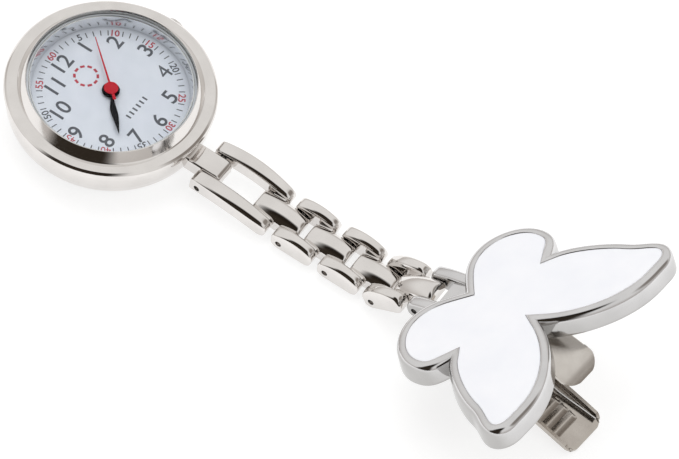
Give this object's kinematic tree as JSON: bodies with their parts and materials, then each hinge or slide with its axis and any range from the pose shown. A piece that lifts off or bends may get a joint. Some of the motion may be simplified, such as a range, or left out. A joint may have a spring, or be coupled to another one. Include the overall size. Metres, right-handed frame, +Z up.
{
  "type": "fob watch",
  "caption": "Nurse's fob watch: round quartz watch on a link chain, hung from an enamelled butterfly brooch with a sprung clip on its back.",
  "frame": {"origin": "centre of the case back's outer face, where the watch head rests", "axes": "+X from the watch head to the brooch, +Y towards 3 o'clock, +Z up out of the dial; 12 o'clock points to -X"},
  "size_m": [0.0929, 0.0381, 0.019],
  "materials": {
    "polished_nickel": "bright nickel plating on a cast base metal, polished",
    "brushed_steel": "plain steel, fine turned or brushed finish",
    "brass": "machined brass",
    "white_enamel": "glossy white epoxy enamel with a faint blue cast",
    "dial_white": "pale satin dial with dark grey and red printing",
    "crystal": "clear flat mineral glass",
    "hand_black": "satin black painted steel",
    "hand_red": "satin red painted steel",
    "rubber_seal": "black nitrile rubber",
    "movement_plastic": "natural white moulded plastic",
    "coil_copper": "enamelled copper wire, wound",
    "circuit_green": "green circuit board"
  },
  "bodies": {
    "watch_case": {"case_body": "polished_nickel", "case_back": "brushed_steel", "back_gasket": "rubber_seal", "bezel": "polished_nickel", "lens": "crystal", "lens_gasket": "rubber_seal", "inner_ring": "polished_nickel", "dial": "dial_white", "movement_ring": "movement_plastic", "movement_plate": "brass", "train_bridge": "brushed_steel", "bridge_screw_1": "brushed_steel", "bridge_screw_2": "brushed_steel", "bridge_screw_3": "brushed_steel", "battery": "brushed_steel", "battery_clip": "brass", "coil": "coil_copper", "stator": "brushed_steel", "circuit_board": "circuit_green"},
    "rotor_arbor": {"rotor": "brushed_steel"},
    "intermediate_arbor": {"intermediate_wheel": "brass"},
    "third_arbor": {"third_wheel": "brass"},
    "second_arbor": {"second_wheel": "brass", "second_hand": "hand_red"},
    "minute_pipe": {"centre_wheel": "brass", "minute_hand": "hand_black"},
    "minute_arbor": {"minute_wheel": "brass"},
    "hour_pipe": {"hour_wheel": "brass", "hour_hand": "hand_black"},
    "setting_slide": {"setting_lever": "brushed_steel"},
    "crown_stem": {"crown": "polished_nickel", "stem": "brushed_steel", "crown_gasket": "rubber_seal"},
    "long_link_body": {"long_link": "polished_nickel", "link_pin_0": "brushed_steel"},
    "link_1_body": {"link_1": "polished_nickel", "link_pin_1": "brushed_steel"},
    "link_2_body": {"link_2": "polished_nickel", "link_pin_2": "brushed_steel"},
    "link_3_body": {"link_3": "polished_nickel", "link_pin_3": "brushed_steel"},
    "brooch": {"butterfly_frame": "polished_nickel", "enamel_inlay": "white_enamel", "link_pin_4": "brushed_steel", "clip_upper_jaw": "polished_nickel", "clip_rivet_1": "brushed_steel", "clip_rivet_2": "brushed_steel", "clip_pin": "brushed_steel"},
    "clip_lever": {"clip_lower_jaw": "polished_nickel", "clip_spring": "brushed_steel"}
  },
  "joints": [
    {"name": "second_turn", "type": "hinge", "parent": "watch_case", "child": "second_arbor", "pos_m": [0, 0, 0.004], "axis": [0, 0, -1], "continuous": true},
    {"name": "minute_turn", "type": "hinge", "parent": "watch_case", "child": "minute_pipe", "pos_m": [0, 0, 0.004], "axis": [0, 0, -1], "continuous": true},
    {"name": "hour_turn", "type": "hinge", "parent": "watch_case", "child": "hour_pipe", "pos_m": [0, 0, 0.005], "axis": [0, 0, -1], "continuous": true},
    {"name": "rotor_turn", "type": "hinge", "parent": "watch_case", "child": "rotor_arbor", "pos_m": [0.00211, 0.00312, 0.0025], "axis": [0, 0, -1], "continuous": true},
    {"name": "intermediate_turn", "type": "hinge", "parent": "watch_case", "child": "intermediate_arbor", "pos_m": [0.00036, 0.00207, 0.0024], "axis": [0, 0, -1], "continuous": true},
    {"name": "third_turn", "type": "hinge", "parent": "watch_case", "child": "third_arbor", "pos_m": [0.00221, -0.00128, 0.0026], "axis": [0, 0, -1], "continuous": true},
    {"name": "minute_wheel_turn", "type": "hinge", "parent": "watch_case", "child": "minute_arbor", "pos_m": [0.0012, -0.00208, 0.0045], "axis": [0, 0, -1], "continuous": true},
    {"name": "crown_pull", "type": "slide", "parent": "watch_case", "child": "setting_slide", "axis": [0, 1, 0], "range_m": [0, 0.0006]},
    {"name": "crown_turn", "type": "hinge", "parent": "setting_slide", "child": "crown_stem", "pos_m": [0, 0.014, 0.0034], "axis": [0, 1, 0], "continuous": true},
    {"name": "case_link_hinge", "type": "hinge", "parent": "watch_case", "child": "long_link_body", "pos_m": [0.01688, 0, 0.00244], "axis": [0, -1, 0], "range_deg": [-35, 35]},
    {"name": "long_link_hinge", "type": "hinge", "parent": "long_link_body", "child": "link_1_body", "pos_m": [0.02997, 0, 0.00125], "axis": [0, -1, 0], "range_deg": [-35, 35]},
    {"name": "link_1_hinge", "type": "hinge", "parent": "link_1_body", "child": "link_2_body", "pos_m": [0.03732, 0, 0.00125], "axis": [0, -1, 0], "range_deg": [-35, 35]},
    {"name": "link_2_hinge", "type": "hinge", "parent": "link_2_body", "child": "link_3_body", "pos_m": [0.04467, 0, 0.00125], "axis": [0, -1, 0], "range_deg": [-35, 35]},
    {"name": "brooch_hinge", "type": "hinge", "parent": "link_3_body", "child": "brooch", "pos_m": [0.05093, 0, 0.00509], "axis": [0, -1, 0], "range_deg": [-35, 35]},
    {"name": "clip_open", "type": "hinge", "parent": "brooch", "child": "clip_lever", "pos_m": [0.06549, -0.00115, 0.0072], "axis": [-0.0785, -0.9969, 0], "range_deg": [0, 40], "stiffness_Nm_per_rad": 0.05, "springref_deg": -57.3, "deforming": ["clip_spring"]}
  ],
  "couplings": [
    {"joint": "minute_turn", "follows": "second_turn", "ratio": 0.016667},
    {"joint": "hour_turn", "follows": "second_turn", "ratio": 0.0013889},
    {"joint": "rotor_turn", "follows": "second_turn", "ratio": 30},
    {"joint": "intermediate_turn", "follows": "second_turn", "ratio": -5},
    {"joint": "third_turn", "follows": "second_turn", "ratio": -0.13333},
    {"joint": "minute_wheel_turn", "follows": "second_turn", "ratio": -0.0055556}
  ]
}
